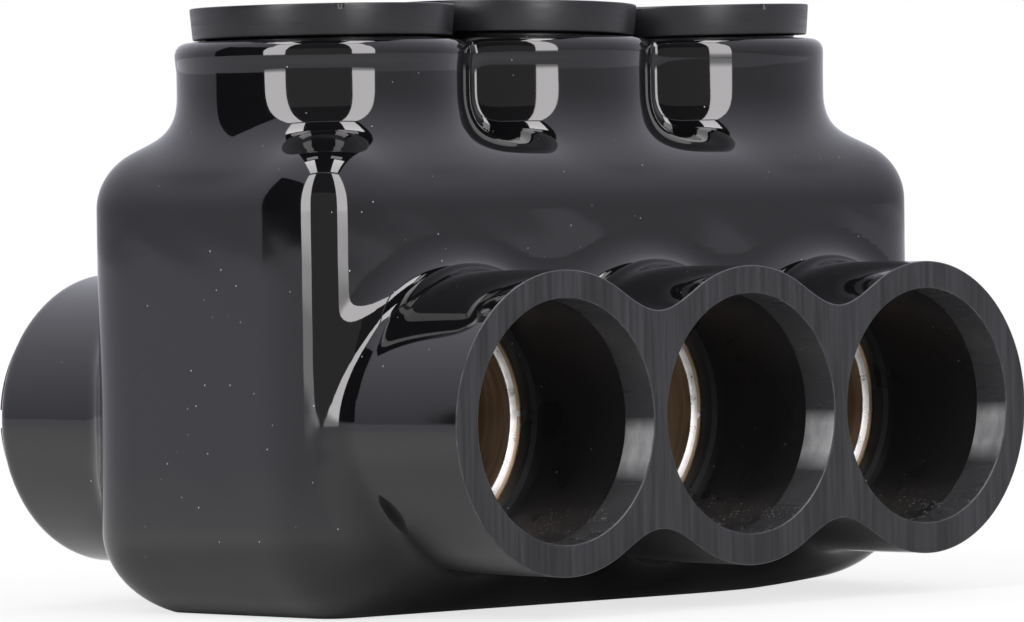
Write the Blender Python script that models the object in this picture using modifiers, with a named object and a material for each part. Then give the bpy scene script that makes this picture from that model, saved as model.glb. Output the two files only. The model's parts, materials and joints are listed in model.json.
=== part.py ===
"""Insulated multi-tap connector.

A tin-plated block with a row of bores is dipped in soft black insulation. Each bore opens
into a tube at the front and at the back, and a set screw above it clamps the conductor.
A collar leads to each set screw and is closed by a round plug. The tubes at the back are
closed by thinner plugs, and those at the front are open.

+X runs along the row of ports, the open ports face -Y and +Z is up. The origin is on the
flat underside, below the middle of the block.
"""
import math

import bmesh
import bpy
import numpy as np
from mathutils import Matrix, Vector

# Sizes that the conductors and the screws set, in metres
PORT_COUNT = 3
BORE_RADIUS = 0.01055
BORE_CHAMFER = 0.0007
THREAD_RADIUS = 0.009525
HEX_ACROSS_FLATS = 0.009525
HEX_DEPTH = 0.0085
SCREW_LENGTH = 0.0175
SCREW_CHAMFER = 0.0008
SCREW_POINT_CHAMFER = 0.0016
MOUTH_RADIUS = 0.01214
PORT_WEB = 0.00192

# Metal left around the bores
END_WALL = 0.00345
FLOOR_WALL = 0.00497
ROOF_WALL = 0.01363
BLOCK_HALF_DEPTH = 0.01585
BLOCK_EDGE = 0.0004

# Insulation
COVER_WALL = 0.0037
COVER_END_WALL = 0.0038
COVER_SIDE_WALL = 0.0036
TUBE_WALL = 0.0030
TUBE_REACH = 0.0149
COLLAR_WALL = 0.0028
COLLAR_HEIGHT = 0.0106
FIRST_COLLAR_DROP = 0.0004
MOUTH_LIP = 0.0041
MOUTH_RELIEF = 0.00036
SEAT_LIP = 0.0014
SEAT_MARGIN = 0.00035
CORNER_ROUNDING = 0.0108
CORNER_POWER = 3.0
BODY_TOP_ROUNDING = 0.0068
BODY_LOW_ROUNDING = 0.0090
BODY_FOOT_ROUNDING = 0.0096
LOW_ROUNDING_HEIGHT = 0.0100
TOP_ROUNDING_HEIGHT = 0.0260
TUBE_SAG = 0.0002
COLLAR_ROUNDING = 0.0013
COLLAR_STEP_LENGTH = 0.0020
REAR_ROUNDING = 0.0013
UNDERSIDE_TRIM = 0.0005
FOOT_LIFT = 0.0022
FOOT_LIFT_LENGTH = 0.0340

# How far each pair of forms runs into the other where the insulation fills the corner
PORT_BLEND = 0.0076
COLLAR_BLEND = 0.0020
TUBE_FILLET = 0.0036
COLLAR_FILLET = 0.0048
COLLAR_FILLET_START = 0.0030
COLLAR_FILLET_END = 0.0080
LEAST_FILLET = 0.0004
ROOT_DEPTH = 0.0040

# Plugs
ACCESS_FLANGE_OVERLAP = 0.00136
ACCESS_FLANGE_THICKNESS = 0.00305
ACCESS_FLANGE_DRAFT = 0.00028
ACCESS_STEM_LENGTH = 0.0050
PORT_FLANGE_OVERLAP = 0.00076
PORT_FLANGE_THICKNESS = 0.0019
PORT_STEM_LENGTH = 0.0080
PLUG_WALL = 0.0016
PLUG_EDGE = 0.0003
PRY_NOTCH_WIDTH = 0.0019
PRY_NOTCH_DEPTH = 0.0011
ACCESS_TILT = (math.radians(-0.4), math.radians(1.2), math.radians(-1.0))

# Clearances between pieces
FIT_GAP = 0.0003
ACCESS_SEAT_GAP = 0.0005
NEIGHBOUR_GAP = 0.0004

# Fineness of the meshes
ROUND_STEPS = 40
SKIN_VOXEL = 0.0014
SKIN_FACES = 3600
SETTLE_ROUNDS = 6
SLOPE_STEP = 0.00002
LEAST_STEEPNESS = 0.25
RELAX_SHARE = 0.5
RELAX_ROUNDS = 4
SHARP_ANGLE = math.radians(35)

# Places worked out from the sizes above
PORT_PITCH = 2 * MOUTH_RADIUS + PORT_WEB
BLOCK_BOTTOM = COVER_WALL + FIT_GAP
BORE_HEIGHT = BLOCK_BOTTOM + FLOOR_WALL + BORE_RADIUS
BLOCK_TOP = BORE_HEIGHT + BORE_RADIUS + ROOF_WALL
BLOCK_HALF_LENGTH = (PORT_COUNT - 1) / 2 * PORT_PITCH + BORE_RADIUS + END_WALL
BODY_HALF_LENGTH = BLOCK_HALF_LENGTH + FIT_GAP + COVER_END_WALL
BODY_HALF_DEPTH = BLOCK_HALF_DEPTH + FIT_GAP + COVER_SIDE_WALL
BODY_TOP = BLOCK_TOP + FIT_GAP + COVER_WALL
TUBE_RADIUS = MOUTH_RADIUS + TUBE_WALL
MOUTH_PLANE = BODY_HALF_DEPTH + TUBE_REACH
WELL_RADIUS = MOUTH_RADIUS
COLLAR_RADIUS = WELL_RADIUS + COLLAR_WALL
COLLAR_TOP = BODY_TOP + COLLAR_HEIGHT
STEM_RADIUS = MOUTH_RADIUS - FIT_GAP
ACCESS_FLANGE_RADIUS = MOUTH_RADIUS + ACCESS_FLANGE_OVERLAP
PORT_FLANGE_RADIUS = MOUTH_RADIUS + PORT_FLANGE_OVERLAP
SEAT_RADIUS = BORE_RADIUS + BORE_CHAMFER + SEAT_MARGIN
SCREW_BOTTOM = BORE_HEIGHT + BORE_RADIUS + FIT_GAP
SCREW_RADIUS = THREAD_RADIUS - FIT_GAP
PORT_X = [(index - (PORT_COUNT - 1) / 2) * PORT_PITCH for index in range(PORT_COUNT)]
COLLAR_TOPS = [COLLAR_TOP - (FIRST_COLLAR_DROP if index == 0 else 0.0) for index in range(PORT_COUNT)]

# Cutters reach this far past the faces that they cut
OVERCUT = 0.0050


def clear_scene():
    for item in list(bpy.data.objects):
        bpy.data.objects.remove(item, do_unlink=True)


def new_collection(name):
    collection = bpy.data.collections.new(name)
    bpy.context.scene.collection.children.link(collection)
    return collection


def plain_material(name, colour, roughness, metallic):
    material = bpy.data.materials.new(name)
    material.use_nodes = True
    shader = material.node_tree.nodes["Principled BSDF"]
    shader.inputs["Base Color"].default_value = (*colour, 1.0)
    shader.inputs["Roughness"].default_value = roughness
    shader.inputs["Metallic"].default_value = metallic
    return material


def add_object(name, mesh, collection, material=None):
    item = bpy.data.objects.new(name, mesh)
    collection.objects.link(item)
    if material:
        mesh.materials.clear()
        mesh.materials.append(material)
    return item


def box_mesh(name, low, high, edge=0.0):
    """A box between two corners, its edges bevelled by edge."""
    low, high = Vector(low), Vector(high)
    shape = bmesh.new()
    bmesh.ops.create_cube(shape, size=1.0)
    bmesh.ops.scale(shape, vec=high - low, verts=shape.verts)
    bmesh.ops.translate(shape, vec=(low + high) / 2, verts=shape.verts)
    if edge:
        bmesh.ops.bevel(shape, geom=shape.edges[:], offset=edge, segments=1, affect="EDGES")
    mesh = bpy.data.meshes.new(name)
    shape.to_mesh(mesh)
    shape.free()
    return mesh


def turned_object(name, outline, collection, material=None):
    """A closed solid turned about Z from (radius, height) points that run from the top down."""
    mesh = bpy.data.meshes.new(name)
    points = [(radius, 0.0, height) for radius, height in outline]
    mesh.from_pydata(points, [(i, i + 1) for i in range(len(points) - 1)], [])
    item = add_object(name, mesh, collection, material)
    screw = item.modifiers.new("turned", "SCREW")
    screw.steps = ROUND_STEPS
    screw.render_steps = ROUND_STEPS
    screw.use_merge_vertices = True
    screw.merge_threshold = 0.000001
    return item


def as_mesh(item):
    """Applies an object's modifiers, keeping its place."""
    graph = bpy.context.evaluated_depsgraph_get()
    mesh = bpy.data.meshes.new_from_object(item.evaluated_get(graph))
    item.modifiers.clear()
    item.data = mesh
    return item


def make_cutter(item):
    item.hide_render = True
    item.display_type = "WIRE"
    return item


def cut(item, cutter):
    boolean = item.modifiers.new("cut " + cutter.name, "BOOLEAN")
    boolean.operation = "DIFFERENCE"
    boolean.object = cutter
    return boolean


def smooth_shade(item):
    item.data.shade_smooth()
    item.data.set_sharp_from_angle(angle=SHARP_ANGLE)


def blend(first, second, reach):
    """The nearer of two distances, with the corner between them filled over the reach."""
    share = np.clip(0.5 + 0.5 * (second - first) / reach, 0.0, 1.0)
    return second + (first - second) * share - reach * share * (1.0 - share)


def soft_rectangle(across, along, half_width, half_length, rounding):
    """Distance to a rectangle whose corners turn slowly at first, as a dipped corner does."""
    across = np.abs(across) - half_width + rounding
    along = np.abs(along) - half_length + rounding
    powers = np.maximum(across, 0.0) ** CORNER_POWER + np.maximum(along, 0.0) ** CORNER_POWER
    return powers ** (1 / CORNER_POWER) + np.minimum(np.maximum(across, along), 0.0) - rounding


def row_side(across_row, reach, radius):
    """Distance to a row of circles, joined where they meet, from the distance off each axis."""
    nearest = across_row[0]
    for across in across_row[1:]:
        nearest = blend(nearest, across, reach)
    return nearest - radius


def rounded_ends(side, along, low, high, rounding):
    """Closes a form at two ends, with the rims rounded."""
    side = side + rounding
    end = np.abs(along - (low + high) / 2) - (high - low) / 2 + rounding
    outside = np.hypot(np.maximum(side, 0.0), np.maximum(end, 0.0))
    inside = np.minimum(np.maximum(side, end), 0.0)
    return outside + inside - rounding


def tubes_distance(points, low, high):
    """Distance to the row of port tubes from low to high along Y, which hang a little low."""
    height = points[:, 2] - BORE_HEIGHT + TUBE_SAG
    across_row = [np.hypot(points[:, 0] - x, height) for x in PORT_X]
    side = row_side(across_row, PORT_BLEND, TUBE_RADIUS)
    return rounded_ends(side, points[:, 1], low, high, REAR_ROUNDING)


def collar_top_at(across):
    """Height of the collars' rims along the row: level on each collar, with a short step between them."""
    half = COLLAR_STEP_LENGTH / 2
    places, heights = [], []
    for left, right, top, next_top in zip(PORT_X, PORT_X[1:], COLLAR_TOPS, COLLAR_TOPS[1:]):
        middle = (left + right) / 2
        places += [middle - half, middle + half]
        heights += [top, next_top]
    return np.interp(across, places, heights)


def collars_distance(points):
    """Distance to the row of collars around the set screws."""
    across_row = [np.hypot(points[:, 0] - x, points[:, 1]) for x in PORT_X]
    side = row_side(across_row, COLLAR_BLEND, COLLAR_RADIUS)
    top = collar_top_at(points[:, 0])
    return rounded_ends(side, points[:, 2], BODY_TOP - ROOT_DEPTH, top, COLLAR_ROUNDING)


def body_distance(points):
    """Distance to the dipped block, whose underside rises a little towards its right end."""
    side = soft_rectangle(points[:, 0], points[:, 1], BODY_HALF_LENGTH, BODY_HALF_DEPTH, CORNER_ROUNDING)
    rounding = np.interp(
        points[:, 2],
        (0.0, LOW_ROUNDING_HEIGHT, TOP_ROUNDING_HEIGHT),
        (BODY_FOOT_ROUNDING, BODY_LOW_ROUNDING, BODY_TOP_ROUNDING),
    )
    rise = np.clip((points[:, 0] - BODY_HALF_LENGTH) / FOOT_LIFT_LENGTH + 1.0, 0.0, 1.0)
    return rounded_ends(side, points[:, 2], FOOT_LIFT * rise**2 - UNDERSIDE_TRIM, BODY_TOP, rounding)


def skin_distance(points):
    """Distance to the outside of the insulation, with every corner filled as dipping fills it."""
    root = BODY_HALF_DEPTH - ROOT_DEPTH
    front = tubes_distance(points, -MOUTH_PLANE - OVERCUT, -root)
    rear = tubes_distance(points, root, MOUTH_PLANE)
    collar_reach = np.interp(
        points[:, 2],
        (BODY_TOP - COLLAR_FILLET_END, BODY_TOP - COLLAR_FILLET_START),
        (LEAST_FILLET, COLLAR_FILLET),
    )
    skin = blend(body_distance(points), collars_distance(points), collar_reach)
    return blend(blend(skin, front, TUBE_FILLET), rear, TUBE_FILLET)


def settle_on_skin(mesh):
    """Moves each point of a mesh along the distance's slope until it lies on the skin."""
    points = np.empty(len(mesh.vertices) * 3, dtype=np.float32)
    mesh.vertices.foreach_get("co", points)
    points = points.reshape(-1, 3).astype(float)
    for _ in range(SETTLE_ROUNDS):
        distance = skin_distance(points)
        slope = np.empty_like(points)
        for axis in range(3):
            shift = np.zeros(3)
            shift[axis] = SLOPE_STEP
            rise = skin_distance(points + shift) - skin_distance(points - shift)
            slope[:, axis] = rise / (2 * SLOPE_STEP)
        steepness = np.maximum((slope**2).sum(axis=1), LEAST_STEEPNESS)
        points -= slope * (distance / steepness)[:, None]
    mesh.vertices.foreach_set("co", points.astype(np.float32).ravel())
    mesh.update()


def rough_form(collection):
    """Body, tubes and collars as plain overlapping solids, in one object."""
    shape = bmesh.new()

    def add_rod(radius, low, high, place):
        rod = bmesh.ops.create_cone(
            shape, cap_ends=True, segments=ROUND_STEPS, radius1=radius, radius2=radius, depth=high - low
        )
        middle = Matrix.Translation((0, 0, (low + high) / 2))
        bmesh.ops.transform(shape, matrix=place @ middle, verts=rod["verts"])

    body = bmesh.ops.create_cube(shape, size=1.0)["verts"]
    bmesh.ops.scale(shape, vec=(2 * BODY_HALF_LENGTH, 2 * BODY_HALF_DEPTH, BODY_TOP), verts=body)
    bmesh.ops.translate(shape, vec=(0, 0, BODY_TOP / 2), verts=body)
    along_y = Matrix.Rotation(-math.pi / 2, 4, "X")
    for x, top in zip(PORT_X, COLLAR_TOPS):
        axis = Matrix.Translation((x, 0, BORE_HEIGHT)) @ along_y
        add_rod(TUBE_RADIUS, -MOUTH_PLANE - OVERCUT, MOUTH_PLANE, axis)
        add_rod(COLLAR_RADIUS, BODY_TOP / 2, top, Matrix.Translation((x, 0, 0)))
    mesh = bpy.data.meshes.new("insulating_cover")
    shape.to_mesh(mesh)
    shape.free()
    return add_object("insulating_cover", mesh, collection)


def build_cover_skin(collection):
    """The outside of the insulation as one closed solid."""
    cover = rough_form(collection)
    remesh = cover.modifiers.new("one skin", "REMESH")
    remesh.mode = "VOXEL"
    remesh.voxel_size = SKIN_VOXEL
    as_mesh(cover)
    settle_on_skin(cover.data)
    relax = cover.modifiers.new("even out", "SMOOTH")
    relax.factor = RELAX_SHARE
    relax.iterations = RELAX_ROUNDS
    as_mesh(cover)
    settle_on_skin(cover.data)
    thin = cover.modifiers.new("fewer faces", "DECIMATE")
    thin.ratio = SKIN_FACES / (2 * len(cover.data.polygons))
    as_mesh(cover)
    settle_on_skin(cover.data)
    return cover


def port_hollow_outline():
    """Hollow of a port from the back mouth to the front one: lip, relief, seat, bore and again."""
    relief = MOUTH_RADIUS + MOUTH_RELIEF
    pocket_face = BLOCK_HALF_DEPTH + FIT_GAP
    half = [
        (0.0, MOUTH_PLANE + OVERCUT),
        (MOUTH_RADIUS, MOUTH_PLANE + OVERCUT),
        (MOUTH_RADIUS, MOUTH_PLANE - MOUTH_LIP),
        (relief, MOUTH_PLANE - MOUTH_LIP - MOUTH_RELIEF),
        (relief, pocket_face + SEAT_LIP),
        (SEAT_RADIUS, pocket_face + SEAT_LIP),
    ]
    return half + [(radius, -height) for radius, height in reversed(half)]


def build_cover(collection, cutters, material):
    cover = build_cover_skin(collection)
    cover.data.materials.append(material)
    reach = BODY_HALF_LENGTH + OVERCUT
    deep = MOUTH_PLANE + 2 * OVERCUT
    flats = {
        "front_cut": ((-reach, -deep, -OVERCUT), (reach, -MOUTH_PLANE, BODY_TOP)),
        "floor_cut": ((-reach, -deep, -OVERCUT), (reach, deep, 0.0)),
        "block_pocket": (
            (-BLOCK_HALF_LENGTH - FIT_GAP, -BLOCK_HALF_DEPTH - FIT_GAP, BLOCK_BOTTOM - FIT_GAP),
            (BLOCK_HALF_LENGTH + FIT_GAP, BLOCK_HALF_DEPTH + FIT_GAP, BLOCK_TOP + FIT_GAP),
        ),
    }
    for name, (low, high) in flats.items():
        cut(cover, make_cutter(add_object(name, box_mesh(name, low, high), cutters)))
    well_bottom = BLOCK_TOP + FIT_GAP - OVERCUT
    well_outline = [
        (0.0, COLLAR_TOP + OVERCUT),
        (WELL_RADIUS, COLLAR_TOP + OVERCUT),
        (WELL_RADIUS, well_bottom),
        (0.0, well_bottom),
    ]
    for index, x in enumerate(PORT_X):
        hollow = turned_object(f"port_hollow_{index + 1}", port_hollow_outline(), cutters)
        hollow.location = (x, 0.0, BORE_HEIGHT)
        hollow.rotation_euler = (-math.pi / 2, 0.0, 0.0)
        cut(cover, make_cutter(hollow))
        well = turned_object(f"screw_well_{index + 1}", well_outline, cutters)
        well.location.x = x
        cut(cover, make_cutter(well))
    smooth_shade(cover)
    return cover


def build_block(collection, cutters, material):
    """The tin-plated block, with a chamfered through bore and a tapped hole at each port."""
    low = (-BLOCK_HALF_LENGTH, -BLOCK_HALF_DEPTH, BLOCK_BOTTOM)
    high = (BLOCK_HALF_LENGTH, BLOCK_HALF_DEPTH, BLOCK_TOP)
    mesh = box_mesh("connector_block", low, high, BLOCK_EDGE)
    block = add_object("connector_block", mesh, collection, material)
    flare = BORE_RADIUS + BORE_CHAMFER + OVERCUT
    half = [
        (0.0, BLOCK_HALF_DEPTH + OVERCUT),
        (flare, BLOCK_HALF_DEPTH + OVERCUT),
        (BORE_RADIUS, BLOCK_HALF_DEPTH - BORE_CHAMFER),
    ]
    bore_outline = half + [(radius, -height) for radius, height in reversed(half)]
    for index, x in enumerate(PORT_X):
        bore = turned_object(f"bore_{index + 1}", bore_outline, cutters)
        bore.location = (x, 0.0, BORE_HEIGHT)
        bore.rotation_euler = (-math.pi / 2, 0.0, 0.0)
        cut(block, make_cutter(bore))
        tapped_outline = [
            (0.0, BLOCK_TOP + OVERCUT),
            (THREAD_RADIUS, BLOCK_TOP + OVERCUT),
            (THREAD_RADIUS, BORE_HEIGHT),
            (0.0, BORE_HEIGHT),
        ]
        tapped = turned_object(f"tapped_hole_{index + 1}", tapped_outline, cutters)
        tapped.location.x = x
        cut(block, make_cutter(tapped))
    return block


def build_set_screws(collection, cutters, material):
    """Hex socket set screws, backed out until their points are clear of the bores."""
    socket_radius = HEX_ACROSS_FLATS / 2 / math.cos(math.pi / 6)
    outline = [
        (0.0, SCREW_LENGTH),
        (SCREW_RADIUS - SCREW_CHAMFER, SCREW_LENGTH),
        (SCREW_RADIUS, SCREW_LENGTH - SCREW_CHAMFER),
        (SCREW_RADIUS, SCREW_POINT_CHAMFER),
        (SCREW_RADIUS - SCREW_POINT_CHAMFER, 0.0),
        (0.0, 0.0),
    ]
    for index, x in enumerate(PORT_X):
        screw = turned_object(f"set_screw_{index + 1}", outline, collection, material)
        screw.location = (x, 0.0, SCREW_BOTTOM)
        shape = bmesh.new()
        bmesh.ops.create_cone(
            shape,
            cap_ends=True,
            segments=6,
            radius1=socket_radius,
            radius2=socket_radius,
            depth=2 * HEX_DEPTH,
        )
        mesh = bpy.data.meshes.new(f"hex_socket_{index + 1}")
        shape.to_mesh(mesh)
        shape.free()
        socket = add_object(f"hex_socket_{index + 1}", mesh, cutters)
        socket.location = (x, 0.0, SCREW_BOTTOM + SCREW_LENGTH)
        cut(screw, make_cutter(socket))


def plug_outline(flange_radius, draft, thickness, stem_length):
    """A flange on a hollow stem: the flange's underside is at height 0 and the stem hangs below."""
    inner = STEM_RADIUS - PLUG_WALL
    return [
        (0.0, thickness),
        (flange_radius - PLUG_EDGE, thickness),
        (flange_radius, thickness - PLUG_EDGE),
        (flange_radius - draft, 0.0),
        (STEM_RADIUS, 0.0),
        (STEM_RADIUS, -stem_length + PLUG_EDGE),
        (STEM_RADIUS - PLUG_EDGE, -stem_length),
        (inner, -stem_length),
        (inner, 0.0),
        (0.0, 0.0),
    ]


def build_access_plugs(collection, cutters, material):
    """The plugs over the screws. Soft flanges press flat against each other where they meet."""
    outline = plug_outline(
        ACCESS_FLANGE_RADIUS, ACCESS_FLANGE_DRAFT, ACCESS_FLANGE_THICKNESS, ACCESS_STEM_LENGTH
    )
    beside = (PORT_PITCH - NEIGHBOUR_GAP) / 2
    for index, (x, top) in enumerate(zip(PORT_X, COLLAR_TOPS)):
        plug = turned_object(f"access_plug_{index + 1}", outline, collection, material)
        plug.location = (x, 0.0, top + ACCESS_SEAT_GAP)
        plug.rotation_euler.y = ACCESS_TILT[index % len(ACCESS_TILT)]
        for side in (-1, 1):
            if not 0 <= index + side < PORT_COUNT:
                continue
            near = side * beside
            far = side * (beside + OVERCUT)
            name = f"flange_flat_{index + 1}_{'left' if side < 0 else 'right'}"
            low = (min(near, far), -ACCESS_FLANGE_RADIUS, -OVERCUT)
            high = (max(near, far), ACCESS_FLANGE_RADIUS, OVERCUT)
            flat = add_object(name, box_mesh(name, low, high), cutters)
            flat.location = plug.location
            cut(plug, make_cutter(flat))


def build_port_plugs(collection, cutters, material):
    """The plugs in the tubes at the back, each with a notch to pry it out by."""
    outline = plug_outline(PORT_FLANGE_RADIUS, 0.0, PORT_FLANGE_THICKNESS, PORT_STEM_LENGTH)
    for index, x in enumerate(PORT_X):
        plug = turned_object(f"port_plug_{index + 1}", outline, collection, material)
        plug.location = (x, MOUTH_PLANE + FIT_GAP, BORE_HEIGHT)
        plug.rotation_euler.x = -math.pi / 2
        name = f"pry_notch_{index + 1}"
        half = PRY_NOTCH_WIDTH / 2
        low = (-PORT_FLANGE_RADIUS - OVERCUT, -OVERCUT, -half)
        high = (-PORT_FLANGE_RADIUS + PRY_NOTCH_DEPTH, OVERCUT, half)
        notch = add_object(name, box_mesh(name, low, high), cutters)
        notch.location = plug.location
        cut(plug, make_cutter(notch))


def main():
    clear_scene()
    parts = new_collection("insulated_multi_tap_connector")
    cutters = new_collection("cutters")
    insulation = plain_material("glossy_insulation", (0.006, 0.006, 0.007), 0.12, 0.0)
    plug_plastic = plain_material("plug_plastic", (0.012, 0.012, 0.013), 0.4, 0.0)
    tinned = plain_material("tinned_aluminium", (0.72, 0.71, 0.69), 0.3, 1.0)
    screw_metal = plain_material("screw_metal", (0.62, 0.61, 0.58), 0.35, 1.0)
    build_cover(parts, cutters, insulation)
    build_block(parts, cutters, tinned)
    build_set_screws(parts, cutters, screw_metal)
    build_access_plugs(parts, cutters, plug_plastic)
    build_port_plugs(parts, cutters, plug_plastic)


main()
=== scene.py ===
"""Insulated multi-tap connector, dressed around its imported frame.

A tinned block with a row of through bores sits in glossy dipped insulation. The front tubes are
cut flush and open, the back tubes are plugged, and a plug closes the collar over each set screw.
+X runs along the ports, the open ports face -Y and +Z is up. All sizes are in metres.
"""
import json
import math

import bmesh
import bpy
import numpy as np
from bpy.props import FloatProperty, FloatVectorProperty, IntProperty, PointerProperty
from mathutils import Matrix, Vector

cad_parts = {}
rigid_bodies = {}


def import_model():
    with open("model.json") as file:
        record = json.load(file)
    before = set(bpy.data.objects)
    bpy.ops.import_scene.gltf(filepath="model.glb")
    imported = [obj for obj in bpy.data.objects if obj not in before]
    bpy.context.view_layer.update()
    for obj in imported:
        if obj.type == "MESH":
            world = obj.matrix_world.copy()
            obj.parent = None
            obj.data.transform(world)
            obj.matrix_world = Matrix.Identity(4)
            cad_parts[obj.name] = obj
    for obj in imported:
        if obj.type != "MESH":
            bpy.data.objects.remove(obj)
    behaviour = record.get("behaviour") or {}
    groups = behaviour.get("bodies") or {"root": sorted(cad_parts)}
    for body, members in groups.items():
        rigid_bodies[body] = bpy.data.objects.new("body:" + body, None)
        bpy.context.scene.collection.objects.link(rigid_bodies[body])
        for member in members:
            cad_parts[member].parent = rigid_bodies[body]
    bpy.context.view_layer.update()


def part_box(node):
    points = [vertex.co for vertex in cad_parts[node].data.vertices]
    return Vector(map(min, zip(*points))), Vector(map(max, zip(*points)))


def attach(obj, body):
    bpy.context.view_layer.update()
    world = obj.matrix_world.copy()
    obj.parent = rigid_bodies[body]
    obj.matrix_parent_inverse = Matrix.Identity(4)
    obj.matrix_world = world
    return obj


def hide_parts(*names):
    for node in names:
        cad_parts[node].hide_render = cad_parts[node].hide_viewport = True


for item in list(bpy.data.objects):
    bpy.data.objects.remove(item, do_unlink=True)

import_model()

bl_info = {
    "name": "Insulated multi-tap connector",
    "version": (1, 0, 0),
    "blender": (4, 5, 0),
    "location": "3D View > Sidebar > Connector",
    "description": "Builds a dipped three port connector with its screws and plugs",
    "category": "Add Mesh",
}

# Places that the frame gives
PORTS = (1, 2, 3)
COVER_LOW, COVER_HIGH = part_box("insulating_cover")
BLOCK_LOW, BLOCK_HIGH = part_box("connector_block")
SCREW_BOXES = [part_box(f"set_screw_{port}") for port in PORTS]
PORT_PLUG_BOXES = [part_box(f"port_plug_{port}") for port in PORTS]
PORT_X = [(low.x + high.x) / 2 for low, high in SCREW_BOXES]
PORT_PITCH = PORT_X[1] - PORT_X[0]
BORE_HEIGHT = (PORT_PLUG_BOXES[0][0].z + PORT_PLUG_BOXES[0][1].z) / 2
MOUTH_PLANE = -COVER_LOW.y
COLLAR_TOP = COVER_HIGH.z
SCREW_RADIUS = (SCREW_BOXES[0][1].x - SCREW_BOXES[0][0].x) / 2
ACCESS_TILT = (math.radians(-0.4), math.radians(1.2), math.radians(-1.0))
GATE_ANGLES = (math.radians(-35.0), None, math.radians(-6.0))

# Fixed sizes of the forms
CORNER_POWER = 3.0
TUBE_SAG = 0.0002
ROOT_DEPTH = 0.0040
UNDERSIDE_TRIM = 0.0005
OVERCUT = 0.0050
POCKET_MARGIN = 0.0003
FIRST_COLLAR_DROP = 0.0004
COLLAR_TOPS = [COLLAR_TOP - FIRST_COLLAR_DROP, COLLAR_TOP, COLLAR_TOP]
COLLAR_STEP = 0.001
COLLAR_BEADS = [0.00018, 0.00016, 0.00005]
BEAD_DEPTH = 0.0030
BEAD_FADE = 0.0016
FOOT_LIFT_START = 0.010
FOOT_HEIGHTS = (0.010, 0.026)
FOOT_TUCK = 0.0006
COLLAR_FILLET_DEPTHS = (0.008, 0.003)
LEAST_FILLET = 0.0004
TUBE_FILLET_HEIGHTS = (0.0025, 0.0105)
SOCKET_TURNS = [math.radians(17 + 31 * port) for port in PORTS]
HEX_LEAD = 0.0004
DRILL_POINT = 0.35

# How near a face has to lie to belong to the skin, a cut, a lip or a bore
NEAR_SKIN = 0.00025
NEAR_CUT = 0.000001
NEAR_LIP = 0.00005
NEAR_BORE = 0.00002


def length(text, default):
    return FloatProperty(
        description=text, default=default, min=0.0, precision=5, subtype="DISTANCE", unit="LENGTH"
    )


def colour(text, default):
    return FloatVectorProperty(description=text, default=default, size=3, min=0.0, max=1.0, subtype="COLOR")


def share(text, default, high=1.0):
    return FloatProperty(description=text, default=default, min=0.0, max=high, subtype="FACTOR")


def rotation(text, degrees):
    return FloatProperty(description=text, default=math.radians(degrees), subtype="ANGLE", unit="ROTATION")


class InsulationSizes(bpy.types.PropertyGroup):
    """Sizes of the dipped insulation."""

    wall: length("Insulation over the top of the block", 0.0040)
    end_wall: length("Insulation over the ends of the block", 0.0041)
    side_wall: length("Insulation over the front and the back of the block", 0.0033)
    tube_radius: length("Outside radius of a port tube", 0.01514)
    mouth_radius: length("Inside radius of a port tube at its end", 0.01214)
    lip_depth: length("How deep the sealing lip runs into a port", 0.0041)
    # Height of the painted highlight patch on the lip of each open port
    highlight_patch_height: length("Height of the dull patch on a lip", 0.0062)
    lip_relief: length("How far the port widens behind its lip", 0.00036)
    seat_lip: length("Insulation that overlaps the block around a bore", 0.0014)
    seat_radius: length("Opening of the insulation around a bore", 0.0117)
    collar_radius: length("Outside radius of a screw collar", 0.01494)
    collar_rounding: length("Rounding of a collar's rim", 0.0013)
    rear_rounding: length("Rounding of a back tube's rim", 0.0013)
    corner_rounding: length("Rounding of the body's upright corners", 0.0101)
    body_rounding: length("Rounding of the body's upper edges", 0.0066)
    foot_rounding: length("Rounding of the body's lower edges", 0.0096)
    port_blend: length("Reach of the fillet between neighbouring tubes", 0.0076)
    collar_blend: length("Reach of the fillet between neighbouring collars", 0.0020)
    tube_fillet: length("Reach of the fillet above and below a tube", 0.0034)
    flank_fillet: length("Reach of the fillet beside a tube", 0.0018)
    collar_fillet: length("Reach of the fillet between a collar and the body", 0.0048)
    foot_lift: length("Rise of the underside at its right end", 0.0022)
    waviness: length("Depth of the unevenness that dipping leaves", 0.000010)
    rim_edge: length("Burr along the rims of the cut tubes", 0.00010)
    fineness: length("Size of one face of the skin", 0.00060)


class MetalSizes(bpy.types.PropertyGroup):
    """Sizes of the block and the set screws."""

    bore_radius: length("Radius of a conductor bore", 0.01055)
    bore_flare: length("How far a bore widens at its ends", 0.0008)
    flare_depth: length("Depth of the widened end of a bore", 0.0003)
    block_edge: length("Chamfer along the edges of the block and its pocket", 0.0022)
    thread_pitch: length("Rise of one turn of the screw thread", 0.0015875)
    thread_depth: length("Depth of the screw thread", 0.0008)
    thread_gap: length("Clearance between a screw and its hole", 0.0002)
    hex_flats: length("Width across flats of the socket", 0.009525)
    hex_depth: length("Depth of the socket", 0.0085)
    screw_chamfer: length("Chamfer at the ends of a screw", 0.0008)
    round_steps: IntProperty(description="Faces round a turned form", default=128, min=24, max=256)


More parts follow.
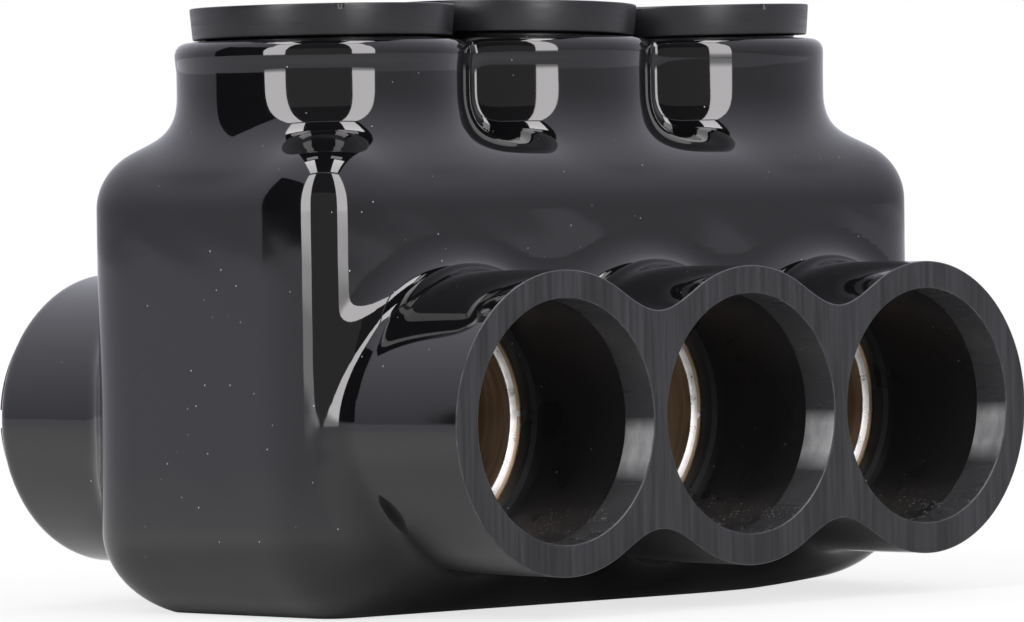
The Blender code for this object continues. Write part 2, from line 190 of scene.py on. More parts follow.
class PlugSizes(bpy.types.PropertyGroup):
    """Sizes of the plugs over the screws and in the back tubes."""

    stem_radius: length("Outside radius of a plug's stem", 0.01184)
    stem_wall: length("Wall of the hollow stem", 0.0016)
    access_radius: length("Radius of the flange over a screw", 0.0135)
    access_thickness: length("Thickness of the flange over a screw", 0.00325)
    access_draft: length("Taper of that flange's side", 0.00028)
    access_stem: length("Length of the stem over a screw", 0.0050)
    access_gap: length("Gap between a collar and its flange", 0.0003)
    port_radius: length("Radius of the flange on a back tube", 0.0129)
    port_thickness: length("Thickness of the flange on a back tube", 0.0019)
    port_stem: length("Length of the stem in a back tube", 0.0080)
    port_gap: length("Gap between a back tube and its flange", 0.0003)
    edge: length("Rounding of the plugs' edges", 0.00022)
    gate_radius: length("Radius of the gate recess in a flange's side", 0.0006)
    gate_depth: length("Depth of that recess", 0.0003)
    gate_height: length("Height of that recess", 0.0008)
    notch_width: length("Width of the pry notch", 0.0019)
    notch_depth: length("Depth of the pry notch", 0.0011)
    neighbour_gap: length("Gap where two flanges meet", 0.0004)


class FinishColours(bpy.types.PropertyGroup):
    """Colours and gloss of the pieces."""

    insulation: colour("Dipped insulation", (0.0042, 0.0041, 0.0047))
    insulation_gloss: share("Roughness of the dipped skin", 0.035)
    cut: colour("Knife cut ends of the tubes", (0.0115, 0.0118, 0.0135))
    plug: colour("Moulded plugs", (0.0085, 0.0085, 0.0100))
    tin: colour("Tin plating of the block", (0.90, 0.88, 0.85))
    bore: colour("Bare wall of the bores", (0.72, 0.53, 0.35))
    screw: colour("Plating of the set screws", (0.62, 0.60, 0.57))
    dust: colour("Specks of dust on the skin", (0.42, 0.42, 0.44))


class StudioSettings(bpy.types.PropertyGroup):
    """Floor, light and camera."""

    floor: colour("Colour of the floor", (0.93, 0.93, 0.93))
    strip_light: FloatProperty(description="Brightness of the strip lights", default=10.5, min=0.0)
    surround: share("Brightness of the room as diffuse light", 0.70, 4.0)
    wall_light: share("Brightness of the room's walls in reflections", 0.60, 4.0)
    ceiling_light: share("Brightness of its ceiling in reflections", 1.25, 4.0)
    floor_glow: share("How far the floor near the object fades to white", 0.74)
    strip_distance: length("Distance from the object to the strip lights", 0.65)
    camera_distance: length("Distance from the camera to the object", 0.70429)
    camera_azimuth: rotation("Side that the camera sees", -44.098)
    camera_elevation: rotation("Height of the camera", 0.769)
    camera_roll: rotation("Lean of the camera", -0.955)


# Meshes


def scene_object(name, data):
    item = bpy.data.objects.new(name, data)
    bpy.context.scene.collection.objects.link(item)
    return item


def new_object(name, points, faces, place=None):
    mesh = bpy.data.meshes.new(name)
    mesh.from_pydata([tuple(point) for point in points], [], faces)
    if place is not None:
        mesh.transform(place)
    mesh.update()
    return scene_object(name, mesh)


def shape_object(name, shape):
    mesh = bpy.data.meshes.new(name)
    shape.to_mesh(mesh)
    shape.free()
    return scene_object(name, mesh)


def apply_modifiers(item):
    graph = bpy.context.evaluated_depsgraph_get()
    mesh = bpy.data.meshes.new_from_object(item.evaluated_get(graph))
    item.modifiers.clear()
    item.data = mesh


def box_object(name, low, high, chamfer=0.0):
    low, high = Vector(low), Vector(high)
    shape = bmesh.new()
    bmesh.ops.create_cube(shape, size=1.0)
    bmesh.ops.scale(shape, vec=high - low, verts=shape.verts)
    bmesh.ops.translate(shape, vec=(low + high) / 2, verts=shape.verts)
    if chamfer:
        bmesh.ops.bevel(
            shape, geom=shape.edges[:], offset=chamfer, segments=1, affect="EDGES", clamp_overlap=True
        )
    return shape_object(name, shape)


def turned(name, outline, steps, place):
    """A closed solid turned about Z and then placed. The outline runs down, with its ends on the axis."""
    angles = np.arange(steps) * 2 * math.pi / steps
    points = [(0.0, 0.0, outline[0][1]), (0.0, 0.0, outline[-1][1])]
    rings = outline[1:-1]
    for radius, height in rings:
        points += [(radius * math.cos(a), radius * math.sin(a), height) for a in angles]
    faces = []
    last = 2 + (len(rings) - 1) * steps
    for step in range(steps):
        after = (step + 1) % steps
        faces.append((0, 2 + step, 2 + after))
        faces.append((1, last + after, last + step))
        for ring in range(len(rings) - 1):
            upper, lower = 2 + ring * steps, 2 + (ring + 1) * steps
            faces.append((upper + step, lower + step, lower + after, upper + after))
    return new_object(name, points, faces, place)


def rounded_corner(before, corner, after, reach, steps=4):
    """Points of a round corner in an outline."""
    corner, before, after = Vector(corner), Vector(before), Vector(after)
    start = corner + (before - corner).normalized() * reach
    end = corner + (after - corner).normalized() * reach
    points = []
    for step in range(steps + 1):
        t = step / steps
        points.append(tuple(start * (1 - t) ** 2 + corner * 2 * t * (1 - t) + end * t**2))
    return points


def soft_outline(outline, reach, steps=4):
    """The outline with each corner off the axis rounded."""
    points = [outline[0]]
    for before, corner, after in zip(outline, outline[1:], outline[2:]):
        points += rounded_corner(before, corner, after, reach, steps)
    points.append(outline[-1])
    return points


def threaded(name, place, low, high, crest, metal, chamfer=0.0, steps=96, rows_a_turn=8):
    """A closed rod from low to high whose side is a helical thread."""
    rows = int(round((high - low) / metal.thread_pitch * rows_a_turn)) + 1
    heights = np.linspace(low, high, rows)
    angles = np.arange(steps) * 2 * math.pi / steps
    turn = heights[:, None] / metal.thread_pitch - angles[None, :] / (2 * math.pi)
    wave = np.abs((turn % 1.0) - 0.5) * 2
    groove = np.clip(wave * 1.35 - 0.2, 0.0, 1.0)
    radius = crest - metal.thread_depth * groove
    if chamfer:
        ends = np.minimum(heights - low, high - heights)
        radius = np.minimum(radius, (crest - chamfer + ends)[:, None])
    levels = np.repeat(heights[:, None], steps, axis=1)
    points = np.stack([radius * np.cos(angles), radius * np.sin(angles), levels], axis=-1).reshape(-1, 3)
    faces = []
    for row in range(rows - 1):
        for step in range(steps):
            after = (step + 1) % steps
            a, b = row * steps, (row + 1) * steps
            faces.append((a + step, a + after, b + after, b + step))
    faces.append(tuple(reversed(range(steps))))
    faces.append(tuple(range((rows - 1) * steps, rows * steps)))
    return new_object(name, points, faces, place)


def upright(x, height=0.0):
    return Matrix.Translation((x, 0, height))


def along_port(x):
    """Turns a form made about Z so that it runs along a port, its top towards the front."""
    return upright(x, BORE_HEIGHT) @ Matrix.Rotation(math.pi / 2, 4, "X")


def on_floor(angle):
    """The level direction at an angle from the front."""
    return Vector((math.sin(angle), -math.cos(angle), 0.0))


def cut(item, cutter):
    boolean = item.modifiers.new("cut " + cutter.name, "BOOLEAN")
    boolean.operation = "DIFFERENCE"
    boolean.solver = "EXACT"
    boolean.object = cutter
    apply_modifiers(item)
    mesh = cutter.data
    bpy.data.objects.remove(cutter)
    bpy.data.meshes.remove(mesh)


def smooth(item, degrees=32.0):
    item.data.shade_smooth()
    item.data.set_sharp_from_angle(angle=math.radians(degrees))


def face_centres(mesh):
    centres = np.empty(len(mesh.polygons) * 3, dtype=np.float32)
    mesh.polygons.foreach_get("center", centres)
    return centres.reshape(-1, 3).astype(float)


def from_bores(points):
    """Distance of each point to the axis of the nearest bore."""
    return np.min([np.hypot(points[:, 0] - x, points[:, 2] - BORE_HEIGHT) for x in PORT_X], axis=0)


def give_finish(item, finishes, which=None):
    item.data.materials.clear()
    for finish in finishes:
        item.data.materials.append(finish)
    if which is not None:
        item.data.polygons.foreach_set("material_index", which.astype(np.int32))


# The skin of the insulation, as a distance


def fillet(first, second, reach):
    portion = np.clip(0.5 + 0.5 * (second - first) / reach, 0.0, 1.0)
    return second + (first - second) * portion - reach * portion * (1.0 - portion)


def soft_rectangle(across, along, half_width, half_length, rounding):
    """Distance to a rectangle whose corners turn slowly at first, as a dipped corner does."""
    across = np.abs(across) - half_width + rounding
    along = np.abs(along) - half_length + rounding
    powers = np.maximum(across, 0.0) ** CORNER_POWER + np.maximum(along, 0.0) ** CORNER_POWER
    return powers ** (1 / CORNER_POWER) + np.minimum(np.maximum(across, along), 0.0) - rounding


def row_side(across_row, reach, radius):
    nearest = across_row[0]
    for across in across_row[1:]:
        nearest = fillet(nearest, across, reach)
    return nearest - radius


def rounded_ends(side, along, low, high, rounding):
    side = side + rounding
    end = np.abs(along - (low + high) / 2) - (high - low) / 2 + rounding
    outside = np.hypot(np.maximum(side, 0.0), np.maximum(end, 0.0))
    inside = np.minimum(np.maximum(side, end), 0.0)
    return outside + inside - rounding


class Skin:
    """The outside of the insulation, as the distance of points to it."""

    def __init__(self, sizes):
        self.sizes = sizes
        self.half_length = BLOCK_HIGH.x + sizes.end_wall
        self.half_depth = BLOCK_HIGH.y + sizes.side_wall
        self.top = BLOCK_HIGH.z + sizes.wall

    def tubes(self, points, low, high):
        height = points[:, 2] - BORE_HEIGHT + TUBE_SAG
        across_row = [np.hypot(points[:, 0] - x, height) for x in PORT_X]
        side = row_side(across_row, self.sizes.port_blend, self.sizes.tube_radius)
        return rounded_ends(side, points[:, 1], low, high, self.sizes.rear_rounding)

    def collars(self, points):
        x, y, z = points.T
        across_row = [np.hypot(x - port_x, y) for port_x in PORT_X]
        side = row_side(across_row, self.sizes.collar_blend, self.sizes.collar_radius)
        middle = (PORT_X[0] + PORT_X[1]) / 2
        top = np.interp(x, (middle - COLLAR_STEP, middle + COLLAR_STEP), COLLAR_TOPS[:2])
        bead = np.interp(x, PORT_X, COLLAR_BEADS)
        side -= bead * np.clip((z - top + BEAD_DEPTH) / BEAD_FADE, 0.0, 1.0)
        return rounded_ends(side, z, self.top - ROOT_DEPTH, top, self.sizes.collar_rounding)

    def waves(self, points):
        x, y, z = points.T
        broad = np.sin(x * 260 + 1.3) * np.sin(z * 310 + 0.4)
        broad += np.sin(y * 330 + 2.1) * np.cos(z * 240 + x * 120)
        fine = np.sin(x * 610 + z * 420 + 0.7) * np.sin(y * 560 - z * 510 + 1.9)
        return self.sizes.waviness * (0.7 * broad + 0.3 * fine)

    def distance(self, points):
        sizes = self.sizes
        x, y, z = points.T
        low, high = sizes.foot_rounding, sizes.body_rounding
        rounding = np.interp(z, (0.0, *FOOT_HEIGHTS, self.top), (low, low - FOOT_TUCK, high, high))
        side = soft_rectangle(x, y, self.half_length, self.half_depth, sizes.corner_rounding)
        rise = np.clip((x - FOOT_LIFT_START) / (self.half_length - FOOT_LIFT_START), 0.0, 1.0)
        foot = sizes.foot_lift * rise**2 - UNDERSIDE_TRIM
        body = rounded_ends(side, z, foot, self.top, rounding)
        root = self.half_depth - ROOT_DEPTH
        front = self.tubes(points, -MOUTH_PLANE - OVERCUT, -root)
        rear = self.tubes(points, root, MOUTH_PLANE)
        levels = [self.top - depth for depth in COLLAR_FILLET_DEPTHS]
        collar_reach = np.interp(z, levels, (LEAST_FILLET, sizes.collar_fillet))
        skin = fillet(body, self.collars(points), collar_reach)
        reaches = (sizes.flank_fillet, sizes.tube_fillet)
        tube_reach = np.interp(np.abs(z - BORE_HEIGHT), TUBE_FILLET_HEIGHTS, reaches)
        skin = fillet(fillet(skin, front, tube_reach), rear, tube_reach)
        return skin + self.waves(points)

    def slope(self, points, step=0.00002):
        slope = np.empty_like(points)
        for axis in range(3):
            shift = np.zeros(3)
            shift[axis] = step
            slope[:, axis] = (self.distance(points + shift) - self.distance(points - shift)) / (2 * step)
        return slope

    def settle(self, mesh, rounds=5):
        points = np.empty(len(mesh.vertices) * 3, dtype=np.float32)
        mesh.vertices.foreach_get("co", points)
        points = points.reshape(-1, 3).astype(float)
        for _ in range(rounds):
            slope = self.slope(points)
            steepness = np.maximum((slope**2).sum(axis=1), 0.25)
            points -= slope * (self.distance(points) / steepness)[:, None]
        mesh.vertices.foreach_set("co", points.astype(np.float32).ravel())
        mesh.update()

    def rough_form(self, name):
        sizes = self.sizes
        shape = bmesh.new()

        def add_rod(radius, low, high, place):
            rod = bmesh.ops.create_cone(
                shape, cap_ends=True, segments=64, radius1=radius, radius2=radius, depth=high - low
            )
            place = place @ Matrix.Translation((0, 0, (low + high) / 2))
            bmesh.ops.transform(shape, matrix=place, verts=rod["verts"])

        body = bmesh.ops.create_cube(shape, size=1.0)["verts"]
        bmesh.ops.scale(shape, vec=(2 * self.half_length, 2 * self.half_depth, self.top), verts=body)
        bmesh.ops.translate(shape, vec=(0, 0, self.top / 2), verts=body)
        along_y = Matrix.Rotation(-math.pi / 2, 4, "X")
        for x, top in zip(PORT_X, COLLAR_TOPS):
            tube_place = upright(x, BORE_HEIGHT) @ along_y
            add_rod(sizes.tube_radius, -MOUTH_PLANE - OVERCUT, MOUTH_PLANE, tube_place)
            add_rod(sizes.collar_radius, self.top / 2, top, upright(x))
        return shape_object(name, shape)

    def build(self, name):
        item = self.rough_form(name)
        remesh = item.modifiers.new("one skin", "REMESH")
        remesh.mode = "VOXEL"
        remesh.voxel_size = self.sizes.fineness
        apply_modifiers(item)
        for _ in range(2):
            self.settle(item.data)
            relax = item.modifiers.new("even out", "SMOOTH")
            relax.factor = 0.5
            relax.iterations = 6
            apply_modifiers(item)
        self.settle(item.data)
        return item


def port_hollow(sizes):
    """Outline of a port's hollow, from the front mouth to the back one."""
    relief = sizes.mouth_radius + sizes.lip_relief
    pocket_face = BLOCK_HIGH.y + POCKET_MARGIN
    half = [
        (0.0, MOUTH_PLANE + OVERCUT),
        (sizes.mouth_radius, MOUTH_PLANE + OVERCUT),
        (sizes.mouth_radius, MOUTH_PLANE - sizes.lip_depth),
        (relief, MOUTH_PLANE - sizes.lip_depth - sizes.lip_relief),
        (relief, pocket_face + sizes.seat_lip),
        (sizes.seat_radius, pocket_face + sizes.seat_lip),
    ]
    return half + [(radius, -height) for radius, height in reversed(half)]


# Finishes

WHITE = (1.0, 1.0, 1.0)
LIP = (0.045, 0.045, 0.049)
LINING = (0.013, 0.013, 0.0145)


class ShaderTree:
    """A tree of shader nodes, with short calls for what recurs in it."""

    def __init__(self, tree):
        self.tree = tree

    def node(self, kind, **settings):
        node = self.tree.nodes.new(kind)
        for key, value in settings.items():
            if key in node.inputs:
                node.inputs[key].default_value = value
            else:
                setattr(node, key, value)
        return node

    def link(self, output, node, socket):
        self.tree.links.new(output, node.inputs[socket])

    def ranged(self, value, low, high, start=0.0, end=1.0):
        ranged = self.node("ShaderNodeMapRange")
        for socket, number in (("From Min", low), ("From Max", high), ("To Min", start), ("To Max", end)):
            ranged.inputs[socket].default_value = number
        self.link(value, ranged, "Value")
        return ranged.outputs["Result"]

    def combined(self, first, second, operation):
        maths = self.node("ShaderNodeMath", operation=operation)
        for socket, value in ((0, first), (1, second)):
            if isinstance(value, float):
                maths.inputs[socket].default_value = value
            else:
                self.link(value, maths, socket)
        return maths.outputs[0]

    def mixed_colour(self, portion, first, second):
        mix = self.node("ShaderNodeMix", data_type="RGBA")
        self.link(portion, mix, 0)
        for socket, value in ((6, first), (7, second)):
            if hasattr(value, "default_value"):
                self.link(value, mix, socket)
            else:
                mix.inputs[socket].default_value = (*value, 1.0)
        return mix.outputs[2]

    def height(self, place):
        part = self.node("ShaderNodeSeparateXYZ")
        self.link(place, part, "Vector")
        return part.outputs["Z"]

    def seen_rays(self):
        """1 for what the camera, a mirror or a glass sees, 0 for diffuse light."""
        path = self.node("ShaderNodeLightPath").outputs
        reflected = self.combined(path["Is Camera Ray"], path["Is Glossy Ray"], "MAXIMUM")
        return self.combined(reflected, path["Is Transmission Ray"], "MAXIMUM")


class Finish(ShaderTree):
    """A material made of shader nodes."""

    def __init__(self, name, base, roughness, metallic=0.0, shine=0.5):
        self.material = bpy.data.materials.new(name)
        self.material.use_nodes = True
        super().__init__(self.material.node_tree)
        self.shader = self.tree.nodes["Principled BSDF"]
        self.shader.inputs["Base Color"].default_value = (*base, 1.0)
        self.shader.inputs["Roughness"].default_value = roughness
        self.shader.inputs["Metallic"].default_value = metallic
        self.shader.inputs["Specular IOR Level"].default_value = shine
        self.place = self.node("ShaderNodeTexCoord").outputs["Object"]

    def noise(self, scale, detail=3.0, rough=0.5, place=None):
        noise = self.node("ShaderNodeTexNoise", Scale=scale, Detail=detail, Roughness=rough)
        self.link(place or self.place, noise, "Vector")
        return noise.outputs["Fac"]

    def grain(self, scale, detail=3.0, rough=0.6, turn=(0.0, 0.0, 0.0)):
        """Noise that is stretched so that it runs one way."""
        mapping = self.node("ShaderNodeMapping", Scale=scale, Rotation=turn)
        self.link(self.place, mapping, "Vector")
        return self.noise(1.0, detail, rough, mapping.outputs["Vector"])

    def specks(self, scale, size, portion):
        """Scattered specks: 1 inside a speck and 0 elsewhere."""
        cells = self.node("ShaderNodeTexVoronoi", Scale=scale)
        self.link(self.place, cells, "Vector")
        near = self.ranged(cells.outputs["Distance"], size * 0.6, size, 1.0, 0.0)
        part = self.node("ShaderNodeSeparateColor")
        self.link(cells.outputs["Color"], part, "Color")
        chosen = self.combined(part.outputs[0], 1.0 - portion, "GREATER_THAN")
        return self.combined(near, chosen, "MULTIPLY")

    def port_dust(self):
        """Loose specks, and dust that lies thick along the bottom of a port and thins out up its sides."""
        low = self.ranged(self.height(self.place), BORE_HEIGHT - 0.0118, BORE_HEIGHT - 0.0086, 1.0, 0.0)
        patches = self.ranged(self.noise(330.0, 2.0), 0.34, 0.60)
        grains = self.combined(self.specks(2100.0, 0.36, 0.36), self.specks(3400.0, 0.36, 0.28), "MAXIMUM")
        settled = self.combined(self.combined(grains, patches, "MULTIPLY"), low, "MULTIPLY")
        return self.combined(self.specks(1000.0, 0.10, 0.1), settled, "MAXIMUM")

    def tone(self, portion, first, second):
        """Gives the piece a colour between two."""
        self.link(self.mixed_colour(portion, first, second), self.shader, "Base Color")

    def sheen(self, value, least, most, low=0.3, high=0.7):
        """Gives the piece a roughness between two."""
        self.link(self.ranged(value, low, high, least, most), self.shader, "Roughness")

    def bump(self, height, distance, strength=0.5):
        bump = self.node("ShaderNodeBump", Strength=strength, Distance=distance)
        self.link(height, bump, "Height")
        self.link(bump.outputs["Normal"], self.shader, "Normal")


def scaled(base, factor):
    return tuple(part * factor for part in base)


def skin_finish(colours):
    finish = Finish("glossy_dipped_insulation", colours.insulation, colours.insulation_gloss)
    smears = finish.ranged(finish.noise(70.0, 4.0, 0.6), 0.42, 0.72, colours.insulation_gloss, 0.065)
    dust = finish.combined(finish.specks(700.0, 0.065, 0.12), finish.specks(1300.0, 0.075, 0.06), "MAXIMUM")
    finish.tone(dust, colours.insulation, colours.dust)
    dull = finish.combined(dust, 0.6, "MULTIPLY")
    finish.link(finish.combined(smears, dull, "ADD"), finish.shader, "Roughness")
    finish.bump(finish.noise(160.0, 2.0), 0.00001)
    return finish.material


def cut_finish(colours):
    finish = Finish("knife_cut_insulation", colours.cut, 0.5, shine=0.28)
    streaks = finish.grain((1500.0, 1500.0, 55.0), 4.0, 0.62, (0.0, 0.05, 0.0))
    broad = finish.combined(finish.grain((260.0, 260.0, 30.0), 2.0, 0.5), 0.5, "MULTIPLY")
    marks = finish.ranged(finish.combined(streaks, broad, "ADD"), 0.62, 0.95)
    finish.tone(marks, scaled(colours.cut, 0.62), scaled(colours.cut, 2.5))
    finish.sheen(streaks, 0.42, 0.62)
    finish.bump(streaks, 0.00006, 0.55)
    return finish.material


# Partly real and partly painted light: the burr faces are lightened up to fourfold in ragged patches, for
# whitened plastic at the cut and for a painted edge highlight
def burr_and_edge_highlight_finish(colours):
    finish = Finish("cut_edge", colours.cut, 0.4)
    ragged = finish.ranged(finish.noise(700.0, 3.0, 0.7), 0.4, 0.7)
    finish.tone(ragged, colours.cut, scaled(colours.cut, 4.0))
    return finish.material


def lip_finish():
    finish = Finish("port_lip", LIP, 0.30)
    drag = finish.grain((300.0, 60.0, 300.0))
    finish.tone(finish.port_dust(), LIP, (0.40, 0.39, 0.37))
    finish.sheen(drag, 0.2, 0.36, low=0.35)
    finish.bump(drag, 0.00004, 0.4)
    return finish.material


def painted_highlight_lip_finish(sizes):
    """A painted highlight: a dull, pale patch on the lip that stands in for a strip light's reflection,
    palest in the middle of the patch.
    """
    finish = Finish("painted_highlight_port_lip", (0.20, 0.20, 0.21), 0.42)
    highlight_streaks = finish.ranged(finish.grain((420.0, 420.0, 170.0), 4.0), 0.32, 0.68)
    pale = finish.mixed_colour(highlight_streaks, (0.21, 0.21, 0.22), (0.46, 0.46, 0.47))
    height = finish.height(finish.place)
    foot = BORE_HEIGHT - sizes.highlight_patch_height
    low = finish.ranged(height, foot, foot + 0.0020)
    high = finish.ranged(height, BORE_HEIGHT - 0.0014, BORE_HEIGHT, 1.0, 0.0)
    # Painted highlight: the lip colour turns pale inside the patch and fades back at its foot and its top
    finish.tone(finish.combined(low, high, "MULTIPLY"), LIP, pale)
    finish.bump(highlight_streaks, 0.00004)
    return finish.material


def lining_finish():
    finish = Finish("port_lining", LINING, 0.3)
    finish.tone(finish.port_dust(), LINING, (0.40, 0.40, 0.39))
    finish.sheen(finish.noise(120.0), 0.24, 0.42)
    finish.bump(finish.noise(420.0, 2.0), 0.00003)
    return finish.material


def plug_finish(colours):
    finish = Finish("satin_plug_plastic", colours.plug, 0.34, shine=0.36)
    grain = finish.grain((120.0, 120.0, 2600.0))
    mottle = finish.ranged(finish.noise(150.0, 4.0, 0.6), 0.35, 0.7)
    mottled = finish.mixed_colour(mottle, scaled(colours.plug, 0.85), scaled(colours.plug, 1.25))
    finish.tone(finish.specks(420.0, 0.07, 0.10), mottled, (0.35, 0.35, 0.36))
    finish.sheen(grain, 0.27, 0.40)
    finish.bump(grain, 0.00002, 0.35)
    return finish.material


def tin_finish(colours):
    finish = Finish("tin_plating", colours.tin, 0.28, metallic=1.0)
    mottle = finish.noise(520.0, 5.0, 0.65)
    finish.tone(finish.ranged(mottle, 0.35, 0.65), scaled(colours.tin, 0.72), colours.tin)
    finish.sheen(mottle, 0.22, 0.42)
    finish.bump(finish.noise(900.0), 0.00003)
    return finish.material


def bore_finish(colours):
    finish = Finish("bare_bore_wall", colours.bore, 0.42, metallic=0.8)
    rings = finish.grain((60.0, 900.0, 60.0))
    finish.tone(finish.ranged(rings, 0.35, 0.7), scaled(colours.bore, 0.5), colours.bore)
    finish.sheen(finish.noise(200.0), 0.34, 0.52)
    finish.bump(rings, 0.00003)
    return finish.material


def screw_finish(colours):
    finish = Finish("set_screw_plating", colours.screw, 0.33, metallic=1.0)
    mottle = finish.noise(420.0, 4.0, 0.6)
    finish.tone(finish.ranged(mottle, 0.35, 0.65), scaled(colours.screw, 0.7), colours.screw)
    finish.sheen(mottle, 0.26, 0.45)
    return finish.material


# Operators


class ConnectorPiece:
    """What the operators of the connector share."""

    bl_options = {"REGISTER", "UNDO"}


class BuildCover(ConnectorPiece, bpy.types.Operator):
    """Build the dipped insulation with its tubes and collars"""

    bl_idname = "connector.build_cover"
    bl_label = "Insulating cover"

    def execute(self, context):
        sizes = context.scene.connector_insulation
        metal = context.scene.connector_metal
        skin = Skin(sizes)
        cover = skin.build("dipped_cover")
        reach = skin.half_length + OVERCUT
        deep = MOUTH_PLANE + 2 * OVERCUT
        margin = Vector((POCKET_MARGIN, POCKET_MARGIN, POCKET_MARGIN))
        cut(cover, box_object("front_cut", (-reach, -deep, -OVERCUT), (reach, -MOUTH_PLANE, skin.top)))
        cut(cover, box_object("floor_cut", (-reach, -deep, -OVERCUT), (reach, deep, 0.0)))
        cut(cover, box_object("block_pocket", BLOCK_LOW - margin, BLOCK_HIGH + margin, metal.block_edge))
        well = [
            (0.0, COLLAR_TOP + OVERCUT),
            (sizes.mouth_radius, COLLAR_TOP + OVERCUT),
            (sizes.mouth_radius, BLOCK_HIGH.z - sizes.wall),
            (0.0, BLOCK_HIGH.z - sizes.wall),
        ]
        for x in PORT_X:
            cut(cover, turned("port_hollow", port_hollow(sizes), metal.round_steps, along_port(x)))
            cut(cover, turned("screw_well", well, metal.round_steps, upright(x)))
        self.break_cut_edges(cover, sizes.rim_edge)
        smooth(cover, 30.0)
        self.paint(cover, skin, sizes, context.scene.connector_colours)
        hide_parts("insulating_cover")
        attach(cover, "connector")
        return {"FINISHED"}

    @staticmethod
    def break_cut_edges(cover, width):
        """Gives the rims of the cut faces a narrow burr."""
        mesh = cover.data
        shape = bmesh.new()
        shape.from_mesh(mesh)
        layer = shape.edges.layers.float.new("bevel_weight_edge")
        for edge in shape.edges:
            on_plane = all(abs(vertex.co.y + MOUTH_PLANE) < NEAR_CUT for vertex in edge.verts)
            if on_plane and len(edge.link_faces) == 2 and edge.calc_face_angle(0.0) > math.radians(50):
                edge[layer] = 1.0
        shape.to_mesh(mesh)
        shape.free()
        bevel = cover.modifiers.new("burr", "BEVEL")
        bevel.limit_method = "WEIGHT"
        bevel.width = width
        bevel.segments = 1
        bevel.use_clamp_overlap = True
        apply_modifiers(cover)

    @staticmethod
    def paint(cover, skin, sizes, colours):
        """Sets each face's finish by where it lies."""
        centres = face_centres(cover.data)
        x, y, z = centres.T
        depth = y + MOUTH_PLANE
        inner = np.abs(skin.distance(centres)) > NEAR_SKIN
        lip = inner & (from_bores(centres) < sizes.mouth_radius + NEAR_LIP)
        lip &= np.abs(y) > MOUTH_PLANE - sizes.lip_depth
        beside = x[:, None] - np.array(PORT_X)
        beside = np.take_along_axis(beside, np.abs(beside).argmin(axis=1)[:, None], axis=1)[:, 0]
        below = BORE_HEIGHT - z
        # Painted highlight: the patch right of each open port's middle, below the bore's axis, where a strip
        # light's reflection falls
        lip_highlight = lip & (beside > 0) & (y < 0) & (below > 0) & (below < sizes.highlight_patch_height)
        # These burr faces get a lightened colour that is partly a painted edge highlight
        burr = depth < 0.6 * sizes.rim_edge
        which = np.zeros(len(centres), dtype=int)
        for number, where in ((4, inner), (3, lip), (5, lip_highlight), (2, burr), (1, depth < NEAR_CUT)):
            which[where] = number
        finishes = [
            skin_finish(colours),
            cut_finish(colours),
            burr_and_edge_highlight_finish(colours),
            lip_finish(),
            lining_finish(),
            painted_highlight_lip_finish(sizes),
        ]
        give_finish(cover, finishes, which)


class BuildBlock(ConnectorPiece, bpy.types.Operator):
    """Build the tinned block with its bores and tapped holes"""

    bl_idname = "connector.build_block"
    bl_label = "Connector block"

    def execute(self, context):
        metal = context.scene.connector_metal
        colours = context.scene.connector_colours
        block = box_object("tinned_block", BLOCK_LOW, BLOCK_HIGH, metal.block_edge)
        steepness = metal.bore_flare / metal.flare_depth
        half = [
            (0.0, BLOCK_HIGH.y + OVERCUT),
            (metal.bore_radius + metal.bore_flare + OVERCUT * steepness, BLOCK_HIGH.y + OVERCUT),
            (metal.bore_radius + 0.00005, BLOCK_HIGH.y - metal.flare_depth + 0.00005),
            (metal.bore_radius, BLOCK_HIGH.y - metal.flare_depth - 0.0001),
        ]
        bore = half + [(radius, -height) for radius, height in reversed(half)]
        hole_radius = SCREW_RADIUS + metal.thread_gap + metal.thread_depth
        for x in PORT_X:
            cut(block, turned("bore", bore, metal.round_steps, along_port(x)))
            top = BLOCK_HIGH.z + 0.002
            cut(block, threaded("tapped_hole", upright(x), BORE_HEIGHT, top, hole_radius, metal, steps=72))
        smooth(block, 30.0)
        centres = face_centres(block.data)
        which = np.zeros(len(centres), dtype=int)
        which[from_bores(centres) < metal.bore_radius + NEAR_BORE] = 1
        give_finish(block, [tin_finish(colours), bore_finish(colours)], which)
        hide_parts("connector_block")
        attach(block, "connector")
        return {"FINISHED"}


class BuildSetScrews(ConnectorPiece, bpy.types.Operator):
    """Build the hex socket set screws"""

    bl_idname = "connector.build_set_screws"
    bl_label = "Set screws"

    def execute(self, context):
        metal = context.scene.connector_metal
        finish = screw_finish(context.scene.connector_colours)
        corner = metal.hex_flats / 2 / math.cos(math.pi / 6)
        chamfer = metal.screw_chamfer * 1.6
        for port, x, (low, high), angle in zip(PORTS, PORT_X, SCREW_BOXES, SOCKET_TURNS):
            name = f"threaded_screw_{port}"
            screw = threaded(name, upright(x), low.z, high.z, SCREW_RADIUS, metal, chamfer)
            floor = high.z - metal.hex_depth
            outline = [
                (0.0, high.z + OVERCUT),
                (corner + HEX_LEAD + OVERCUT, high.z + OVERCUT),
                (corner, high.z - HEX_LEAD),
                (corner, floor),
                (0.0, floor - corner * DRILL_POINT),
            ]
            cut(screw, turned("hex_socket", outline, 6, upright(x) @ Matrix.Rotation(angle, 4, "Z")))
            smooth(screw, 28.0)
            give_finish(screw, [finish])
            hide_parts(f"set_screw_{port}")
            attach(screw, f"set_screw_{port}")
        return {"FINISHED"}


def plug_outline(sizes, flange, draft, thickness, stem):
    """A flange on a hollow stem, the flange's underside at height 0."""
    inner = sizes.stem_radius - sizes.stem_wall
    return [
        (0.0, thickness),
        (flange, thickness),
        (flange - draft, 0.0),
        (sizes.stem_radius, 0.0),
        (sizes.stem_radius, -stem),
        (inner, -stem),
        (inner, 0.0),
        (0.0, 0.0),
    ]


